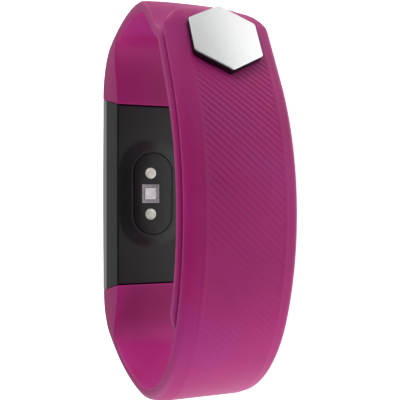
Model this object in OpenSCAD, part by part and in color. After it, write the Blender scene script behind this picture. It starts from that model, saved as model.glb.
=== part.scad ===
// Slim wrist band: an electronics pod, two moulded straps and a stud clasp.
// The band lies on its side. X runs along the pod, Y from the clasp (-Y) to the pod (+Y),
// and Z is the axis of the loop, with both strap edges on z = 0.

/* [Band] */
// Width of the straps and the pod
band_width = 16; // [12:0.5:24]
// Depth of the loop from the clasp side to the pod's front edge
loop_depth = 55.2; // [50:0.1:62]
// Thickness of the clasp strap, the outer layer
clasp_thick = 2.1; // [1.5:0.1:3]
// Thickness of the tail strap, the inner layer
tail_thick = 2.0; // [1.5:0.1:3]
// Distance from the outer face of the clasp strap to the outer face of the tail strap
layer_step = 3.0; // [2.8:0.1:4]

/* [Loop shape] */
// Radius of the front of the loop
front_r = 40; // [34:1:50]
// Slope of the flat run that carries the clasp, in degrees
clasp_slope = 28; // [20:1:34]
// Length of that flat run
clasp_run = 9; // [8:0.5:12]
// Radius of the bend above the clasp
shoulder_r = 8.5; // [8:0.5:12]
// Radius of the outer bend beside the tail strap's end of the pod
tail_corner_r = 10; // [9:0.5:11]
// Radius of the outer bend beside the clasp strap's end of the pod
clasp_corner_r = 9; // [9:0.5:11]

/* [Pod] */
// Thickness of the pod from its back to the lens's edge
pod_thick = 9.5; // [9:0.1:11]
// How far each side of the pod leans in at its back
side_lean = 1.0; // [0:0.1:1.2]
// Half length of the pod at its front
pod_half_front = 19.9; // [19.4:0.1:20.3]
// Half length of the pod at its back
pod_half_back = 17.6; // [16.8:0.1:18]
// Rise of the lens over its length
lens_rise = 1.0; // [0.4:0.1:1.5]
// Height of the raised sensor area on the back
hump = 0.9; // [0.6:0.1:1.2]
// Length of the sensor window
window_len = 16.1; // [14:0.1:18]
// Width of the sensor window
window_wid = 7.8; // [6:0.1:9]
// Radius of a light lens
led_r = 1.08; // [0.8:0.02:1.3]
// Distance from the middle of the sensor to a light lens
led_step = 4.03; // [3.6:0.01:4.4]

/* [Clasp] */
// Distance along the strap from the front of the loop to the stud
stud_at = 25.8; // [24:0.1:26]
// Width of the hexagonal cap across its flats
cap_flats = 10.2; // [9:0.1:12]
// Thickness of the cap
cap_thick = 1.0; // [0.9:0.1:1.6]
// Radius of the rounded strap end about the stud
tip_r = 9; // [8.6:0.1:10]
// Radius of the stud's neck
neck_r = 1.6; // [1.2:0.1:2]
// Radius of the stud's head
head_r = 1.8; // [1.6:0.1:2.2]
// Length of a hole in the tail strap
hole_len = 6.9; // [5:0.1:7.2]
// Width of a hole in the tail strap
hole_wid = 4.4; // [4:0.1:5]
// Distance between holes
hole_pitch = 8.5; // [8:0.1:10]

/* [Joints] */
// Distance along the strap from the front of the loop to the clasp strap's bend
lift_at = 4; // [0:0.5:8]
// Distance along the strap from the front of the loop to the tail strap's bend
flex_at = 42; // [41:0.5:44]
// Radius of the seats that the bends turn in
seat_r = 1.4; // [1.3:0.05:1.6]

/* [Hidden] */
w_lens = loop_depth;
w_back = loop_depth - pod_thick;
w_seam = loop_depth - 1.1;
w_in = w_back + 1.2;
zc = band_width / 2;
front_v = -2.4;
y_shift = -(loop_depth + lens_rise) / 2;
// the pod sits a little towards the tail strap's end
pod_x = 0.5;
low_slope = 22;
crown_r = 38;
crown_from = 61;
e = 0.01;
// the sensor sits a little off the pod's middle, both ways
sensor_x = 0.2;
sensor_z = zc + 0.5;

// One step along a path of arcs and lines. A state is [v, w, heading].
function arc_end(p, r, to) = [
    p[0] + r * (sin(to) - sin(p[2])),
    p[1] + r * (cos(p[2]) - cos(to)),
    to];
function run_end(p, len) = [p[0] + len * cos(p[2]), p[1] + len * sin(p[2]), p[2]];

// The last two arcs bring the path flush with the pod's front edge.
function close_arcs(apex_v, apex_w, corner_r, end_v) =
    let (a = loop_depth - apex_w - corner_r,
         b = apex_v - end_v - 0.05 - corner_r,
         beta = 2 * atan(b / a))
    [corner_r + a / sin(beta), beta];

up0 = [front_v, 0, 0];
up1 = arc_end(up0, front_r, clasp_slope);
up2 = run_end(up1, clasp_run);
up3 = arc_end(up2, shoulder_r, crown_from);
up4 = arc_end(up3, crown_r, 90);
up_close = close_arcs(up4[0], up4[1], tail_corner_r, pod_half_front + pod_x);

lo0 = [-front_v, 0, 0];
lo1 = arc_end(lo0, front_r, low_slope);
// the bottom bend reaches as far out as the top one, so the loop is centred on x = 0
bottom_r = (up4[0] - lo1[0]) / (1 - sin(low_slope));
lo2 = arc_end(lo1, bottom_r, 90);
lo_close = close_arcs(lo2[0], lo2[1], clasp_corner_r, pod_half_front - pod_x);

// Segments as [start, radius or 0 for a line, end heading or length]
up_segs = [
    [up0, front_r, clasp_slope],
    [up1, 0, clasp_run],
    [up2, shoulder_r, crown_from],
    [up3, crown_r, 90],
    [up4, up_close[0], 90 + up_close[1]],
    [arc_end(up4, up_close[0], 90 + up_close[1]), tail_corner_r, 180]];
lo_segs = [
    [lo0, front_r, low_slope],
    [lo1, bottom_r, 90],
    [lo2, lo_close[0], 90 + lo_close[1]],
    [arc_end(lo2, lo_close[0], 90 + lo_close[1]), clasp_corner_r, 180]];

function seg_len(g) = g[1] == 0 ? g[2] : g[1] * (g[2] - g[0][2]) * PI / 180;
function total_len(segs, i = 0) = i >= len(segs) ? 0 : seg_len(segs[i]) + total_len(segs, i + 1);
function state_at(segs, q, i = 0) =
    (q <= seg_len(segs[i]) || i == len(segs) - 1)
    ? (segs[i][1] == 0
        ? run_end(segs[i][0], q)
        : arc_end(segs[i][0], segs[i][1], segs[i][0][2] + q / segs[i][1] * 180 / PI))
    : state_at(segs, q - seg_len(segs[i]), i + 1);

// A point at signed distance s along the outer face, moved inwards by o
function on_path(s, o) =
    let (up = s >= 0, st = state_at(up ? up_segs : lo_segs, abs(s)), h = st[2])
    [(up ? 1 : -1) * (st[0] - o * sin(h)), st[1] + o * cos(h) + y_shift];
function slope_at(s) = (s >= 0 ? 1 : -1) * state_at(s >= 0 ? up_segs : lo_segs, abs(s))[2];

up_len = total_len(up_segs);
lo_len = total_len(lo_segs);

function smooth(t) = let (c = max(0, min(1, t))) c * c * (3 - 2 * c);
// How far the tail strap's outer face lies inside the path
function tail_off(s) = layer_step * (1 - smooth((s - 34) / 12));

function bez(p, t) =
    pow(1 - t, 3) * p[0] + 3 * pow(1 - t, 2) * t * p[1] + 3 * (1 - t) * t * t * p[2] + pow(t, 3) * p[3];

// The inner face of a thick strap root, from the pod's end to the thin strap
function root_inner(sgn, join_s, thick) =
    let (j = on_path(sgn * join_s, thick),
         b = on_path(sgn * (join_s + 3), thick))
    [[sgn * (pod_half_back + 0.05) + pod_x, w_back - 0.25 + y_shift],
     [sgn * (pod_half_back + 5) + pod_x, w_back - 0.25 + y_shift],
     j + (b - j) * 2,
     j];

module across(z0 = 0, z1 = band_width) {
    translate([0, 0, z0]) linear_extrude(z1 - z0) children();
}

// Moves children to the stud: local X along the strap, local Z outwards along the stud
module at_path(s, o = 0) {
    p = on_path(s, o);
    a = slope_at(s);
    translate([p[0], p[1], zc]) rotate([0, 0, a]) rotate([90, 0, 0]) children();
}

module knuckle(s, o, r) {
    p = on_path(s, o);
    translate([p[0], p[1], -1]) cylinder(r = r, h = band_width + 2, $fn = 48);
}

// ---------- straps ----------

module clasp_root_shape() {
    n = 60;
    inner = root_inner(-1, 60, clasp_thick);
    polygon(concat(
        [for (i = [0 : n]) on_path(-lo_len + (lo_len + lift_at) * i / n, 0)],
        [for (i = [0 : n]) on_path(lift_at + (-60 - lift_at) * i / n, clasp_thick)],
        [for (i = [1 : 11]) bez(inner, 1 - i / 12)],
        [[pod_x - (pod_half_back + 0.05), w_back - 0.25 + y_shift]]));
}

module clasp_strap_root() {
    color([0.60, 0.15, 0.40]) difference() {
        across() clasp_root_shape();
        knuckle(lift_at, clasp_thick / 2, seat_r);
        in_pod() plug_space(-1);
    }
}

module clasp_strap_tip() {
    n = 44;
    s1 = stud_at + tip_r;
    p = on_path(lift_at, clasp_thick / 2);
    color([0.62, 0.16, 0.42]) difference() {
        union() {
            intersection() {
                across() polygon(concat(
                    [for (i = [0 : n]) on_path(lift_at + (s1 + 1 - lift_at) * i / n, 0)],
                    [for (i = [0 : n]) on_path(s1 + 1 + (lift_at - s1 - 1) * i / n, clasp_thick)]));
                union() {
                    at_path(stud_at) translate([0, 0, -9]) cylinder(r = tip_r, h = 18, $fn = 96);
                    at_path(stud_at) translate([-40, -band_width, -30]) cube([40, 2 * band_width, 60]);
                }
            }
            translate([p[0], p[1], 0]) cylinder(r = clasp_thick / 2, h = band_width, $fn = 48);
            // a low round seat under the cap
            at_path(stud_at) translate([0, 0, -1.2]) cylinder(r = 6.6, h = 1.2, $fn = 72);
        }
        at_path(stud_at) translate([0, 0, -5]) cylinder(r = neck_r, h = 10, $fn = 48);
    }
}

module tail_root_shape() {
    n = 40;
    inner = root_inner(1, 62, tail_thick);
    polygon(concat(
        [for (i = [0 : n]) let (s = flex_at + (up_len - flex_at) * i / n) on_path(s, tail_off(s))],
        [[pod_x + pod_half_back + 0.05, w_back - 0.25 + y_shift]],
        [for (i = [1 : 11]) bez(inner, i / 12)],
        [for (i = [0 : 16]) let (s = 62 + (flex_at - 62) * i / 16) on_path(s, tail_off(s) + tail_thick)]));
}

module tail_strap_root() {
    color([0.60, 0.15, 0.40]) difference() {
        across() tail_root_shape();
        knuckle(flex_at, tail_off(flex_at) + tail_thick / 2, seat_r);
        in_pod() plug_space(1);
    }
}

module strap_hole(s) {
    r = hole_wid / 2;
    d = (hole_len - hole_wid) / 2;
    at_path(s, layer_step) translate([0, 0, -6]) union() {
        translate([-d, 0, 0]) cylinder(r = r, h = 9, $fn = 40);
        translate([d, 0, 0]) cylinder(r = r, h = 9, $fn = 40);
        translate([-d, -r, 0]) cube([2 * d, 2 * r, 9]);
    }
}

module tail_strap_end() {
    n = 84;
    s0 = -23;
    p = on_path(flex_at, tail_off(flex_at) + tail_thick / 2);
    color([0.62, 0.16, 0.42]) difference() {
        union() {
            intersection() {
                across() polygon(concat(
                    [for (i = [0 : n]) let (s = s0 + (flex_at - s0) * i / n) on_path(s, tail_off(s))],
                    [for (i = [0 : n]) let (s = flex_at + (s0 - flex_at) * i / n)
                        on_path(s, tail_off(s) + tail_thick)]));
                union() {
                    at_path(s0 + 8) translate([0, 0, -20]) cylinder(r = 8, h = 40, $fn = 96);
                    at_path(s0 + 8) translate([0, -band_width, -60]) cube([80, 2 * band_width, 120]);
                }
            }
            translate([p[0], p[1], 0]) cylinder(r = tail_thick / 2, h = band_width, $fn = 48);
        }
        for (i = [0 : 4]) strap_hole(stud_at - i * hole_pitch);
    }
}

// ---------- clasp ----------

module clasp_cap() {
    color([0.86, 0.87, 0.88]) at_path(stud_at) difference() {
        union() {
            cylinder(r = cap_flats / sqrt(3), h = cap_thick - 0.3, $fn = 6);
            translate([0, 0, cap_thick - 0.3 - e]) cylinder(r = (cap_flats - 0.6) / sqrt(3), h = 0.3 + e, $fn = 6);
        }
        translate([0, 0, -1]) cylinder(r = neck_r, h = 1.5, $fn = 48);
    }
}

module clasp_stud() {
    grip = layer_step + tail_thick;
    color([0.80, 0.81, 0.82]) at_path(stud_at) union() {
        translate([0, 0, -grip - 0.2]) cylinder(r = neck_r, h = grip + 0.7, $fn = 48);
        translate([0, 0, -grip - 0.4]) cylinder(r = head_r, h = 0.8, $fn = 48);
    }
}

module clasp_backplate() {
    color([0.78, 0.79, 0.80]) at_path(stud_at) difference() {
        translate([0, 0, -clasp_thick - 0.4]) cylinder(r = 3, h = 0.4, $fn = 60);
        translate([0, 0, -clasp_thick - 1]) cylinder(r = neck_r, h = 2, $fn = 48);
    }
}

// ---------- pod ----------

// The pod's parts are drawn about its own middle
module in_pod() {
    translate([pod_x, 0, 0]) children();
}

module box(x0, x1, w0, w1, z0, z1) {
    translate([x0, w0 + y_shift, z0]) cube([x1 - x0, w1 - w0, z1 - z0]);
}

module pill(len, wid, w0, w1) {
    r = wid / 2;
    d = (len - wid) / 2;
    for (m = [-1, 1])
        translate([sensor_x + m * d, w1 + y_shift, zc]) rotate([90, 0, 0])
            cylinder(r = r, h = w1 - w0, $fn = 60);
    box(sensor_x - d, sensor_x + d, w0, w1, zc - r, zc + r);
}

// A round bar along Y
module rod(x, z, r, w0, w1, n = 48) {
    translate([x, w1 + y_shift, z]) rotate([90, 0, 0]) cylinder(r = r, h = w1 - w0, $fn = n);
}

// The space inside a strap root for the pod's stepped end and its plug
module plug_space(sgn) {
    if (sgn > 0) {
        box(15, 20.95, w_back + 1.0, w_lens - 1.8, 1.2, band_width - 1.2);
        box(15, 26.7, w_back + 1.3, w_back + 3.7, zc - 6.1, zc + 6.1);
    } else {
        box(-20.95, -15, w_back + 1.0, w_lens - 1.8, 1.2, band_width - 1.2);
        box(-25.6, -15, w_back + 1.6, w_back + 4.8, zc - 5.1, zc + 5.1);
    }
}

// The space between the pod's two sides, which lean in towards its back
module leaning_sides() {
    translate([-30, y_shift, 0]) rotate([90, 0, 90]) linear_extrude(60) polygon([
        [w_back, side_lean],
        [w_lens, 0],
        [w_lens, band_width],
        [w_back, band_width - side_lean]]);
}

module pod_shell() {
    crown_across = 28;
    color([0.20, 0.20, 0.21]) difference() {
        union() {
            intersection() {
                across() polygon([
                    [-pod_half_back, w_back + y_shift],
                    [pod_half_back, w_back + y_shift],
                    [pod_half_front - 0.31, w_seam + y_shift],
                    [-pod_half_front + 0.31, w_seam + y_shift]]);
                leaning_sides();
            }
            // the crowned sensor area
            intersection() {
                pill(window_len + 5, window_wid + 5, w_back - hump, w_back + 1);
                translate([sensor_x - 12, w_back - hump + crown_across + y_shift, zc]) rotate([0, 90, 0])
                    cylinder(r = crown_across, h = 24, $fn = 180);
            }
            // stepped ends, and the plain plug that holds the clasp strap
            box(-20.85, 20.85, w_back + 1.1, w_lens - 1.9, 1.3, band_width - 1.3);
            box(-25.5, -15, w_back + 1.7, w_back + 4.7, zc - 5, zc + 5);
            box(-24.8, -24.0, w_back + 1.65, w_back + 4.75, zc - 4, zc + 4);
        }
        box(-15.6, 15.6, w_in, w_back + 4.9, 2, band_width - 2);
        box(-16.6, 16.6, w_back + 4.8, w_lens, 1.2, band_width - 1.2);
        // window seat, and the way through to the sensor
        pill(window_len, window_wid, w_back - 2, w_back + 0.1);
        pill(window_len - 1.2, window_wid - 1.2, w_back - 2, w_in + 1);
        // way through for the plug-in tongue
        box(15, 22, w_back + 1.4, w_back + 3.6, zc - 6, zc + 6);
    }
}

module lens_adhesive() {
    color([0.08, 0.08, 0.09]) difference() {
        box(-19.0, 19.0, w_seam, w_seam + 0.2, 0.4, band_width - 0.4);
        box(-16.4, 16.4, w_seam - 1, w_seam + 1, 1.7, band_width - 1.7);
    }
}

module front_lens() {
    half = pod_half_front - 0.05;
    low = half - (w_lens - w_seam - 0.2) * (pod_half_front - pod_half_back) / pod_thick;
    big_r = (half * half + lens_rise * lens_rise) / (2 * lens_rise);
    color([0.05, 0.05, 0.06]) intersection() {
        across(0.1, band_width - 0.1) polygon([
            [-low, w_seam + 0.2 + y_shift],
            [low, w_seam + 0.2 + y_shift],
            [half, w_lens + y_shift],
            [half, w_lens + lens_rise + 1 + y_shift],
            [-half, w_lens + lens_rise + 1 + y_shift],
            [-half, w_lens + y_shift]]);
        translate([0, w_lens + lens_rise - big_r + y_shift, -1])
            cylinder(r = big_r, h = band_width + 2, $fn = 720);
    }
}

module display_panel() {
    color([0.10, 0.11, 0.13]) box(-8, 14, w_lens - 2.5, w_lens - 1.1, 2.8, band_width - 2.8);
}

module display_flex() {
    color([0.75, 0.45, 0.12]) union() {
        box(-10.5, -8, w_lens - 2.4, w_lens - 2.25, zc - 3, zc + 3);
        box(-10.65, -10.5, w_back + 5.6, w_lens - 2.25, zc - 3, zc + 3);
    }
}

module touch_pad() {
    color([0.80, 0.62, 0.30]) union() {
        rod(-13.6, zc, 2.2, w_lens - 1.4, w_lens - 1.1);
        rod(-13.6, zc, 0.5, w_back + 5.6, w_lens - 1.4, 24);
    }
}

module main_board() {
    color([0.06, 0.28, 0.20]) box(-16.4, 16.4, w_back + 4.9, w_back + 5.6, 1.6, band_width - 1.6);
}

module board_chips() {
    color([0.12, 0.12, 0.13]) union() {
        box(-6, -1, w_back + 5.6, w_back + 6.5, 5.5, 10.5);
        box(1.5, 3.5, w_back + 5.6, w_back + 6.3, 9, 11);
        box(1.5, 4.7, w_back + 5.6, w_back + 6.3, 4, 6.5);
        box(6.5, 9.5, w_back + 5.6, w_back + 6.4, 7, 11);
    }
}

module antenna() {
    color([0.85, 0.84, 0.80]) box(14.6, 15.8, w_back + 5.6, w_back + 6.6, 4.5, 11.5);
}

module battery() {
    color([0.70, 0.72, 0.74]) box(-15.2, 6.8, w_back + 2.05, w_back + 4.75, 2.2, band_width - 2.2);
}

module battery_pad() {
    color([0.16, 0.16, 0.17]) box(-8, 6.4, w_back + 1.75, w_back + 2.05, 3.5, band_width - 3.5);
}

module motor_can() {
    color([0.75, 0.76, 0.77]) union() {
        difference() {
            rod(11.4, zc, 4.0, w_back + 1.3, w_back + 4.2, 72);
            rod(11.4, zc, 3.7, w_back + 1.5, w_back + 4.0, 72);
        }
        rod(11.4, zc, 0.4, w_back + 1.4, w_back + 4.1, 24);
    }
}

module motor_rotor() {
    color([0.55, 0.52, 0.45]) difference() {
        rod(11.4, zc, 3.3, w_back + 1.9, w_back + 3.6, 72);
        rod(11.4, zc, 0.46, w_back + 1, w_back + 5, 24);
        box(7, 10.6, w_back + 1, w_back + 5, 2, 14);
    }
}

module sensor_window() {
    color([0.13, 0.13, 0.14]) difference() {
        pill(window_len - 0.1, window_wid - 0.1, w_back - hump - 0.1, w_back + 0.1);
        for (m = [-1, 1]) rod(sensor_x + m * led_step, sensor_z, led_r + 0.05, w_back - 3, w_back + 2);
        box(sensor_x - 1.84, sensor_x + 1.84, w_back - 3, w_back + 2, sensor_z - 1.75, sensor_z + 1.75);
    }
}

module light_shield() {
    color([0.05, 0.05, 0.05]) difference() {
        pill(window_len - 1.4, window_wid - 1.4, w_back + 0.1, w_in);
        for (m = [-1, 1]) rod(sensor_x + m * led_step, sensor_z, led_r + 0.05, w_back - 3, w_back + 2);
        box(sensor_x - 1.3, sensor_x + 1.3, w_back - 3, w_back + 2, sensor_z - 1.3, sensor_z + 1.3);
    }
}

module led_lenses() {
    dome_r = 1.75;
    color([0.90, 0.92, 0.90]) for (m = [-1, 1]) union() {
        rod(sensor_x + m * led_step, sensor_z, led_r, w_back - hump - 0.1, w_in);
        intersection() {
            rod(sensor_x + m * led_step, sensor_z, led_r, w_back - hump - 1, w_back - hump);
            translate([sensor_x + m * led_step, w_back - hump + 1.25 + y_shift, sensor_z])
                sphere(r = dome_r, $fn = 60);
        }
    }
}

module photodiode_frame() {
    color([0.72, 0.74, 0.75]) difference() {
        box(sensor_x - 1.82, sensor_x + 1.82, w_back - hump - 0.15, w_back + 0.1,
            sensor_z - 1.73, sensor_z + 1.73);
        box(sensor_x - 1.2, sensor_x + 1.2, w_back - 3, w_back + 2, sensor_z - 1.2, sensor_z + 1.2);
    }
}

module photodiode() {
    color([0.80, 0.84, 0.86]) box(sensor_x - 1.15, sensor_x + 1.15, w_back - hump + 0.05, w_in,
        sensor_z - 1.15, sensor_z + 1.15);
}

module sensor_board() {
    color([0.05, 0.22, 0.16]) box(-8, 7.2, w_in + 0.02, w_back + 1.75, 3.5, band_width - 3.5);
}

module usb_tongue() {
    color([0.10, 0.10, 0.11]) union() {
        box(15.7, 26.5, w_back + 1.45, w_back + 3.55, zc - 5.95, zc + 5.95);
    }
}

module usb_contacts() {
    color([0.90, 0.72, 0.32]) for (k = [-3.5, -1, 1, 3.5])
        box(20.9, abs(k) == 3.5 ? 26.2 : 25.2, w_back + 3.55, w_back + 3.62, zc + k - 0.5, zc + k + 0.5);
}

in_pod() pod_shell();
in_pod() front_lens();
in_pod() lens_adhesive();
in_pod() display_panel();
in_pod() display_flex();
in_pod() touch_pad();
in_pod() main_board();
in_pod() board_chips();
in_pod() antenna();
in_pod() battery();
in_pod() battery_pad();
in_pod() motor_can();
in_pod() motor_rotor();
in_pod() sensor_window();
in_pod() light_shield();
in_pod() led_lenses();
in_pod() photodiode_frame();
in_pod() photodiode();
in_pod() sensor_board();
in_pod() usb_tongue();
in_pod() usb_contacts();
clasp_strap_root();
clasp_strap_tip();
tail_strap_root();
tail_strap_end();
clasp_cap();
clasp_stud();
clasp_backplate();
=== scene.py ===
# %% [markdown]
# # A slim wrist band, closed on its stud
#
# The band is two soft straps pushed onto the ends of a small electronics pod. The clasp strap goes
# round the outside and ends in a stud under a hexagonal cap. The tail strap runs inside it and has
# the holes. The engineering model already holds every part at its real size and joint, so this
# script gives the visible pieces their finished shapes, and every piece its surface.
#
# The band lies on its side: X runs along the pod, Y from the clasp to the pod, and Z is the loop's
# axis.

import math

import bmesh
import bpy
from mathutils import Matrix, Vector


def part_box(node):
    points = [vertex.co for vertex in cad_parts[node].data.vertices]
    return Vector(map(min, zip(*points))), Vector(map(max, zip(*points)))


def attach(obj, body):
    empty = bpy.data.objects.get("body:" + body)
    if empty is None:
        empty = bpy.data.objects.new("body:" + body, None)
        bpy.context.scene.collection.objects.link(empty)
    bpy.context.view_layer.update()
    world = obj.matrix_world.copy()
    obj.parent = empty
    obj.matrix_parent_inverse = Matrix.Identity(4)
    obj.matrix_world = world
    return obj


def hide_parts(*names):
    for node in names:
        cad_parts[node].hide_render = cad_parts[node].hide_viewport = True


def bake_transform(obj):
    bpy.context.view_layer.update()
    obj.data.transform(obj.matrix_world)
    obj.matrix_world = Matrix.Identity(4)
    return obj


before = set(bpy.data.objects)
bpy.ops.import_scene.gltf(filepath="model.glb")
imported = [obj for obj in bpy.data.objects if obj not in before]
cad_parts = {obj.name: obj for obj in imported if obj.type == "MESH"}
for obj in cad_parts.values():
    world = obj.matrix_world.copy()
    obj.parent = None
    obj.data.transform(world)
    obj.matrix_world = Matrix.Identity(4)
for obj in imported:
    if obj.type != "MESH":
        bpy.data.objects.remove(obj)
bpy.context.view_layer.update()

# %% [markdown]
# ## Sizes
#
# All sizes are in millimetres, as on a drawing, and become metres when a piece is put in its place.
# They repeat the engineering model's driving dimensions, and the pod's are checked against it.

# %% Sizes
MM = 0.001
WIDTH = 16.0
HALF = WIDTH / 2
LOOP_DEPTH = 55.2
LENS_RISE = 1.0
SHIFT = -(LOOP_DEPTH + LENS_RISE) / 2
POD_FRONT = 19.9
POD_BACK = 17.6
POD_X = 0.5
POD_THICK = 9.5
STRAP_GAP = 0.05
SIDE_LEAN = 1.0
BACK = LOOP_DEPTH - POD_THICK
SEAM = LOOP_DEPTH - 1.1
CLASP_THICK = 2.1
TAIL_THICK = 2.0
LAYER_STEP = 3.0
STUD_AT = 25.8
TIP_R = 9.0
SENSOR_X = 0.2
SENSOR_Z = 0.5
HUMP = 0.9
print(f"band {WIDTH} mm wide, pod {2 * POD_FRONT} mm long and {POD_THICK} mm thick")
shell_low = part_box("pod_shell")[0]
print(f"the model's pod starts {shell_low[1] / MM - SHIFT:.2f} mm into the loop, {BACK - HUMP:.2f} here")

# %% [markdown]
# ## The path of the straps
#
# The straps follow a path of arcs and one flat run. A stretch is stored as its start, its radius and
# its end heading, or with a radius of 0 and its length where it is straight. The heading starts
# along the front of the loop and has turned through half a circle by the time it meets the pod.
# The last two arcs are solved so that the path arrives flush with the pod's front edge.


# %% Stretches of the path
def arc_end(start, radius, heading):
    """Where an arc ends: position across the loop, position into it, and heading in degrees."""
    a, b = math.radians(start[2]), math.radians(heading)
    across = start[0] + radius * (math.sin(b) - math.sin(a))
    into = start[1] + radius * (math.cos(a) - math.cos(b))
    return across, into, heading


def run_end(start, length):
    """Where a straight run ends."""
    a = math.radians(start[2])
    return start[0] + length * math.cos(a), start[1] + length * math.sin(a), start[2]


def close_on_pod(apex, corner, end):
    """The two arcs that bring the path from its widest point to the pod's front edge, end away."""
    a = LOOP_DEPTH - apex[1] - corner
    b = apex[0] - end - STRAP_GAP - corner
    turn = 2 * math.degrees(math.atan(b / a))
    radius = corner + a / math.sin(math.radians(turn))
    middle = arc_end(apex, radius, 90 + turn)
    return [(apex, radius, 90 + turn), (middle, corner, 180)]


# %% [markdown]
# The tail side has a front bend, the flat run that carries the clasp, a tight shoulder and a long
# crown. The clasp side only has a front bend and one round bottom bend, whose radius is worked out
# so that both sides reach equally far.

# %% The two sides
FRONT_R = 40.0
FRONT_OFF = 2.4
CLASP_SLOPE = 28
CLASP_RUN = 9
SHOULDER_R = 8.5
CROWN_FROM = 61
CROWN_R = 38
TAIL_CORNER_R = 10
LOW_SLOPE = 22.0
CLASP_CORNER_R = 9

up0 = (-FRONT_OFF, 0.0, 0.0)
up1 = arc_end(up0, FRONT_R, CLASP_SLOPE)
up2 = run_end(up1, CLASP_RUN)
up3 = arc_end(up2, SHOULDER_R, CROWN_FROM)
up4 = arc_end(up3, CROWN_R, 90)
TAIL_SIDE = [(up0, FRONT_R, CLASP_SLOPE), (up1, 0, CLASP_RUN)]
TAIL_SIDE += [(up2, SHOULDER_R, CROWN_FROM), (up3, CROWN_R, 90)]
TAIL_SIDE += close_on_pod(up4, TAIL_CORNER_R, POD_FRONT + POD_X)

low0 = (FRONT_OFF, 0.0, 0.0)
low1 = arc_end(low0, FRONT_R, LOW_SLOPE)
bottom_r = (up4[0] - low1[0]) / (1 - math.sin(math.radians(LOW_SLOPE)))
low2 = arc_end(low1, bottom_r, 90)
CLASP_SIDE = [(low0, FRONT_R, LOW_SLOPE), (low1, bottom_r, 90)]
CLASP_SIDE += close_on_pod(low2, CLASP_CORNER_R, POD_FRONT - POD_X)


def stretch_length(start, radius, end):
    """The length of one stretch."""
    return end if radius == 0 else radius * math.radians(end - start[2])


TAIL_LEN = sum(stretch_length(*p) for p in TAIL_SIDE)
CLASP_LEN = sum(stretch_length(*p) for p in CLASP_SIDE)
print(f"path: {TAIL_LEN:.1f} mm on the tail side, {CLASP_LEN:.1f} mm on the clasp side")


# %% [markdown]
# A point on a strap is found from how far along the path it is, s, which is positive on the tail
# side and negative on the clasp side, and from how deep it lies below the path.


# %% Points on the path
def heading_at(s):
    """Position and heading at distance s from the front of the loop."""
    left = abs(s)
    for start, radius, end in TAIL_SIDE if s >= 0 else CLASP_SIDE:
        length = stretch_length(start, radius, end)
        if left <= length + 1e-6:
            if radius == 0:
                return run_end(start, left)
            return arc_end(start, radius, start[2] + math.degrees(left / radius))
        left -= length
    return arc_end(start, radius, end)


def flat_point(s, depth):
    """A point in the plane of the loop, in millimetres: s along the path and depth below it."""
    across, into, heading = heading_at(s)
    a = math.radians(heading)
    x = across - depth * math.sin(a)
    return Vector((x if s >= 0 else -x, into + depth * math.cos(a) + SHIFT))


def on_path(s, depth, z):
    """A point on a strap in metres, z from the middle of its width."""
    x, y = flat_point(s, depth)
    return Vector((x, y, HALF + z)) * MM


def ease(t):
    """0 below 0, 1 above 1, and a smooth ramp between them."""
    t = max(0.0, min(1.0, t))
    return t * t * (3 - 2 * t)


# %% [markdown]
# ## Material helpers
#
# Colours are written as the hex values one would pick on a screen, and are turned to linear light
# once. One small function adds a node, sets its inputs and makes its links, so that each material
# reads as a short list of what it is made of. A pattern's scale is one over the size in metres of
# what it draws. Many of the band's finishes are one recipe, a moulded surface with its own grain.


# %% Material helpers
def paint(hexa):
    """An sRGB hex colour as linear RGBA."""
    parts = [int(hexa[i : i + 2], 16) / 255 for i in (1, 3, 5)]
    return tuple(c / 12.92 if c <= 0.04045 else ((c + 0.055) / 1.055) ** 2.4 for c in parts) + (1.0,)


def add_node(tree, kind, inputs=None, stops=(), **settings):
    """Adds a node. An input given as (node, output name) is linked, and any other value is set.

    The stops are the (place, colour) pairs of a colour ramp.
    """
    made = tree.nodes.new(kind)
    for name, value in settings.items():
        setattr(made, name, value)
    for i, (place, colour) in enumerate(stops):
        elements = made.color_ramp.elements
        stop = elements[i] if i < len(elements) else elements.new(place)
        stop.position = place
        stop.color = colour
    for name, value in (inputs or {}).items():
        if isinstance(value, tuple) and isinstance(value[0], bpy.types.Node):
            tree.links.new(value[0].outputs[value[1]], made.inputs[name])
        else:
            made.inputs[name].default_value = value
    return made


def new_material(name):
    """An empty material, its node tree and a Texture Coordinate node."""
    made = bpy.data.materials.new(name)
    made.use_nodes = True
    made.node_tree.nodes.clear()
    return made, made.node_tree, add_node(made.node_tree, "ShaderNodeTexCoord")


def surface(tree, inputs):
    """The Principled shader and the output, which end every material."""
    shader = add_node(tree, "ShaderNodeBsdfPrincipled", inputs)
    add_node(tree, "ShaderNodeOutputMaterial", {"Surface": (shader, "BSDF")})


def moulded(name, dark, light, grain_mm, depth_mm, inputs):
    """A plain finish: two close colours and a shallow relief that follow one grain."""
    made, tree, where = new_material(name)
    blobs = {"Vector": (where, "Object"), "Scale": 1 / (grain_mm * MM), "Detail": 3.0}
    grain = add_node(tree, "ShaderNodeTexNoise", blobs)
    colours = ((0.35, paint(dark)), (0.65, paint(light)))
    tint = add_node(tree, "ShaderNodeValToRGB", {"Fac": (grain, "Fac")}, colours)
    bump = add_node(tree, "ShaderNodeBump", {"Height": (grain, "Fac"), "Distance": depth_mm * MM})
    surface(tree, {"Base Color": (tint, "Color"), "Normal": (bump, "Normal"), **inputs})
    return made


# %% [markdown]
# ## Magenta strap rubber
#
# The straps are moulded thermoplastic polyurethane, a satin rubber that lets a little light in.
# The mould's fine texture makes its gloss broad and low, and the colour drifts a little where the
# material flowed. A little subsurface light gives the thin edges and the gap between the straps
# their crimson glow.

# %% Strap rubber
strap_rubber, tree, where = new_material("moulded_tpu_magenta")
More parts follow.
